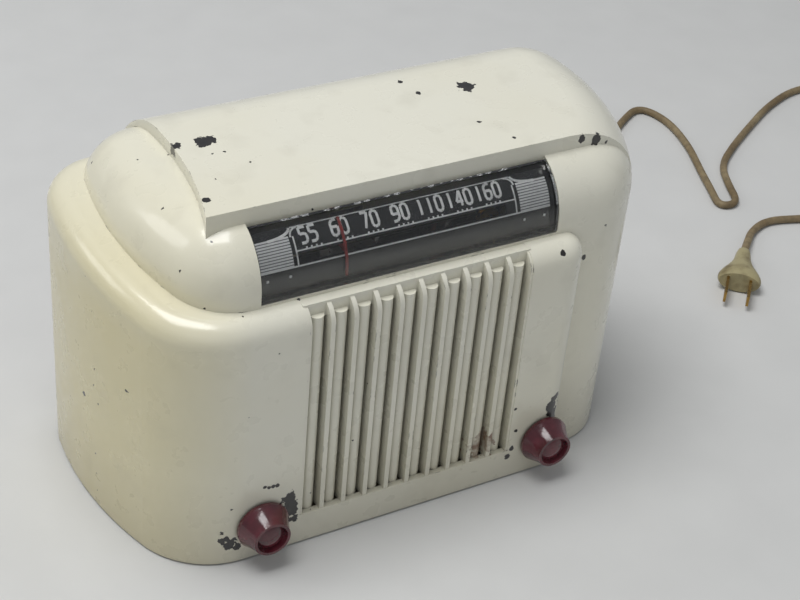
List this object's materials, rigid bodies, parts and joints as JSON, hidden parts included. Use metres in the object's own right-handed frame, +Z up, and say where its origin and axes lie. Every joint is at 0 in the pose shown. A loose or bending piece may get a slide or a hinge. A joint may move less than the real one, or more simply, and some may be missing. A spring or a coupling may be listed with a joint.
{
  "type": "table radio",
  "caption": "Mains valve table radio: one-piece moulded cabinet with stepped top, curved dial, fluted grille, control knobs, chassis inside and a mains lead with plug.",
  "frame": {"origin": "centre of the radio's footprint box on the surface it stands on, mains lead left out", "axes": "+Z up, +X to the listener's right along the front, -Y towards the listener"},
  "size_m": [0.6387, 0.2862, 0.17],
  "materials": {
    "aluminium": "plain",
    "basket": "grey enamel",
    "brass": "plain",
    "bright_steel": "bright",
    "cabinet_plastic": "aged ivory paint over dark moulded plastic, satin gloss",
    "cone": "pressed paper",
    "control_body": "moulded phenolic",
    "dial_cord": "waxed cord",
    "dial_scale": "black gloss print",
    "dial_window": "clear moulded plastic, polished",
    "drum": "plain",
    "feet": "matt",
    "grille_cloth": "open weave",
    "hardboard": "pressed fibreboard",
    "knob": "moulded maroon, glossy",
    "lamp_glass": "clear",
    "lead_rubber": "aged tan",
    "loop_aerial": "cotton-covered wire, waxed",
    "magnet": "ground",
    "plated_steel": "dull cadmium plating",
    "plug": "yellowed cream",
    "pointer": "red enamel",
    "pulley": "turned",
    "socket": "moulded phenolic",
    "transformer": "varnished laminations",
    "valve_base": "moulded phenolic",
    "valve_glass": "clear with getter flash"
  },
  "bodies": {
    "cabinet_body": {"back_cover": "hardboard", "baffle_board": "hardboard", "baffle_screws": "bright_steel", "cabinet": "cabinet_plastic", "chassis": "plated_steel", "chassis_nuts": "bright_steel", "chassis_screws": "bright_steel", "control_nuts": "brass", "cover_screws": "bright_steel", "dial_bracket": "plated_steel", "dial_lamp": "lamp_glass", "dial_scale": "dial_scale", "dial_window": "dial_window", "drive_cord": "dial_cord", "filter_capacitor": "aluminium", "gang_frame": "plated_steel", "gang_stator": "aluminium", "grille_cloth": "grille_cloth", "idler_pulley_left": "pulley", "idler_pulley_lower": "pulley", "idler_pulley_right": "pulley", "if_cans": "aluminium", "lamp_holder": "plated_steel", "loop_aerial": "loop_aerial", "mains_lead_coil": "lead_rubber", "mains_lead_first": "lead_rubber", "mains_lead_second": "lead_rubber", "output_transformer": "transformer", "plug_blades": "brass", "plug_body": "plug", "pointer_cord": "dial_cord", "pointer_rail": "bright_steel", "pulley_pins": "bright_steel", "rubber_feet": "feet", "speaker_basket": "basket", "speaker_cone": "cone", "speaker_magnet": "magnet", "speaker_screws": "bright_steel", "spindle_plate": "plated_steel", "strain_relief": "lead_rubber", "tuning_bush": "brass", "valve_bases": "valve_base", "valve_converter": "valve_glass", "valve_detector": "valve_glass", "valve_if_amplifier": "valve_glass", "valve_output": "valve_glass", "valve_rectifier": "valve_glass", "valve_sockets": "socket", "volume_control": "control_body"},
    "tuning": {"tuning_knob": "knob", "tuning_spindle": "bright_steel"},
    "gang": {"gang_rotor": "aluminium", "cord_drum": "drum", "drum_spring": "bright_steel"},
    "pointer": {"dial_pointer": "pointer"},
    "volume": {"volume_knob": "knob", "volume_spindle": "bright_steel"}
  },
  "joints": [
    {"name": "gang_turn", "type": "hinge", "parent": "cabinet_body", "child": "gang", "pos_m": [0.077, -0.0345, 0.078], "axis": [0, 1, 0], "range_deg": [-36, 144]},
    {"name": "tuning_turn", "type": "hinge", "parent": "cabinet_body", "child": "tuning", "pos_m": [0.07, -0.061, 0.02], "axis": [0, 1, 0], "range_deg": [-260.29, 1041.01]},
    {"name": "pointer_slide", "type": "slide", "parent": "cabinet_body", "child": "pointer", "axis": [1, 0, 0], "range_m": [-0.01886, 0.07541]},
    {"name": "volume_turn", "type": "hinge", "parent": "cabinet_body", "child": "volume", "pos_m": [-0.079, -0.061, 0.02], "axis": [0, 1, 0], "range_deg": [-60, 240]}
  ],
  "couplings": [
    {"joint": "tuning_turn", "follows": "gang_turn", "ratio": 7.2289},
    {"joint": "pointer_slide", "follows": "gang_turn", "m_per_rad": 0.03}
  ]
}
